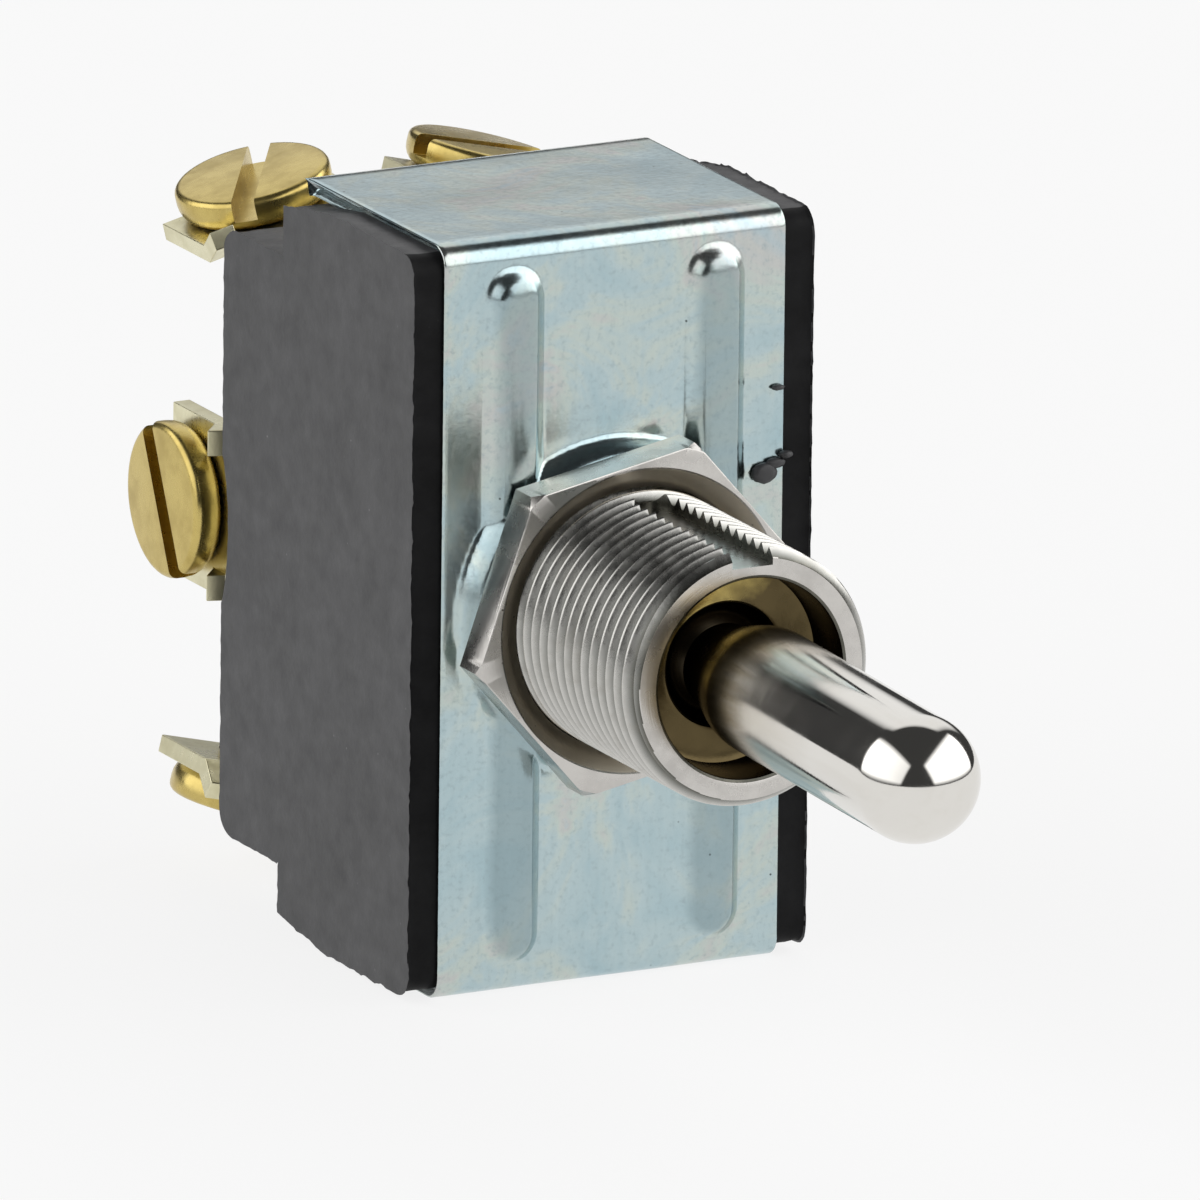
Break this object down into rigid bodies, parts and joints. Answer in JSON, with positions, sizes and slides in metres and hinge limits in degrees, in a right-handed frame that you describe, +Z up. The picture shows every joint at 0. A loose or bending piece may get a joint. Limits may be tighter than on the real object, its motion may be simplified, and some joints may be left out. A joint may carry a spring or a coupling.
{
  "type": "panel toggle switch",
  "caption": "Heavy duty panel toggle switch with a threaded bushing, a steel frame round a moulded black case, a centre-off metal lever and screw terminals behind.",
  "frame": {"origin": "where the bushing's axis meets the front face of the frame's plate", "axes": "+Z up along the body's long side, -Y out of the panel along the bushing and lever, +X to the right seen from the front"},
  "size_m": [0.0206, 0.0594, 0.0346],
  "materials": {
    "zinc_plate": "zinc plated sheet steel with a clear blue-grey passivation",
    "phenolic": "compression moulded black phenolic, matte with fine specks",
    "nickel_plate": "satin nickel plate over turned metal",
    "bright_nickel": "bright nickel plate, polished",
    "spring_brass": "bare brass",
    "pin_steel": "bright steel",
    "fibre_board": "moulded insulating board",
    "copper_alloy": "spring copper alloy strip",
    "contact_silver": "silver alloy rivet",
    "terminal_brass": "pale stamped brass",
    "screw_brass": "satin brass"
  },
  "bodies": {
    "housing": {"frame": "zinc_plate", "case": "phenolic", "bushing": "nickel_plate", "pivot_retainer": "spring_brass", "rocker_pin_left": "pin_steel", "rocker_pin_right": "pin_steel", "fixed_contact_left_upper": "contact_silver", "fixed_contact_left_lower": "contact_silver", "fixed_contact_right_upper": "contact_silver", "fixed_contact_right_lower": "contact_silver", "terminal_left_upper": "terminal_brass", "terminal_left_centre": "terminal_brass", "terminal_left_lower": "terminal_brass", "terminal_right_upper": "terminal_brass", "terminal_right_centre": "terminal_brass", "terminal_right_lower": "terminal_brass"},
    "lever_arm": {"lever": "bright_nickel", "pivot_pin": "pin_steel", "actuator": "fibre_board", "spring_left": "pin_steel", "spring_right": "pin_steel"},
    "panel_nut": {"hex_nut": "nickel_plate"},
    "plunger_left": {"plunger_left": "spring_brass"},
    "rocker_arm_left": {"rocker_left": "copper_alloy", "moving_contact_left_upper": "contact_silver", "moving_contact_left_lower": "contact_silver"},
    "plunger_right": {"plunger_right": "spring_brass"},
    "rocker_arm_right": {"rocker_right": "copper_alloy", "moving_contact_right_upper": "contact_silver", "moving_contact_right_lower": "contact_silver"},
    "screw_left_upper": {"screw_left_upper": "screw_brass"},
    "screw_left_centre": {"screw_left_centre": "screw_brass"},
    "screw_left_lower": {"screw_left_lower": "screw_brass"},
    "screw_right_upper": {"screw_right_upper": "screw_brass"},
    "screw_right_centre": {"screw_right_centre": "screw_brass"},
    "screw_right_lower": {"screw_right_lower": "screw_brass"}
  },
  "joints": [
    {"name": "lever_swing", "type": "hinge", "parent": "housing", "child": "lever_arm", "pos_m": [0, -0.0075, 0], "axis": [1, 0, 0], "range_deg": [-13.5, 10.5]},
    {"name": "plunger_left_press", "type": "slide", "parent": "lever_arm", "child": "plunger_left", "axis": [0, -0.9997, -0.0262], "range_m": [0, 0.0008], "stiffness_N_per_m": 300, "springref_m": -0.001, "deforming": ["spring_left"]},
    {"name": "rocker_left_tilt", "type": "hinge", "parent": "housing", "child": "rocker_arm_left", "pos_m": [-0.00405, 0.0122, 0], "axis": [1, 0, 0], "range_deg": [-5.25, 6.75]},
    {"name": "plunger_right_press", "type": "slide", "parent": "lever_arm", "child": "plunger_right", "axis": [0, -0.9997, -0.0262], "range_m": [0, 0.0008], "stiffness_N_per_m": 300, "springref_m": -0.001, "deforming": ["spring_right"]},
    {"name": "rocker_right_tilt", "type": "hinge", "parent": "housing", "child": "rocker_arm_right", "pos_m": [0.00405, 0.0122, 0], "axis": [1, 0, 0], "range_deg": [-5.25, 6.75]},
    {"name": "panel_nut_travel", "type": "slide", "parent": "housing", "child": "panel_nut", "axis": [0, -1, 0], "range_m": [0, 0.01]},
    {"name": "screw_left_upper_travel", "type": "slide", "parent": "housing", "child": "screw_left_upper", "axis": [-0.2419, 0, 0.9703], "range_m": [0, 0.0016]},
    {"name": "screw_left_centre_travel", "type": "slide", "parent": "housing", "child": "screw_left_centre", "axis": [-1, 0, 0], "range_m": [0, 0.0016]},
    {"name": "screw_left_lower_travel", "type": "slide", "parent": "housing", "child": "screw_left_lower", "axis": [-0.2419, 0, -0.9703], "range_m": [0, 0.0016]},
    {"name": "screw_right_upper_travel", "type": "slide", "parent": "housing", "child": "screw_right_upper", "axis": [0.2419, 0, 0.9703], "range_m": [0, 0.0016]},
    {"name": "screw_right_centre_travel", "type": "slide", "parent": "housing", "child": "screw_right_centre", "axis": [1, 0, 0], "range_m": [0, 0.0016]},
    {"name": "screw_right_lower_travel", "type": "slide", "parent": "housing", "child": "screw_right_lower", "axis": [0.2419, 0, -0.9703], "range_m": [0, 0.0016]}
  ],
  "couplings": [
    {"joint": "rocker_left_tilt", "follows": "lever_swing", "ratio": -0.5},
    {"joint": "rocker_right_tilt", "follows": "lever_swing", "ratio": -0.5}
  ]
}
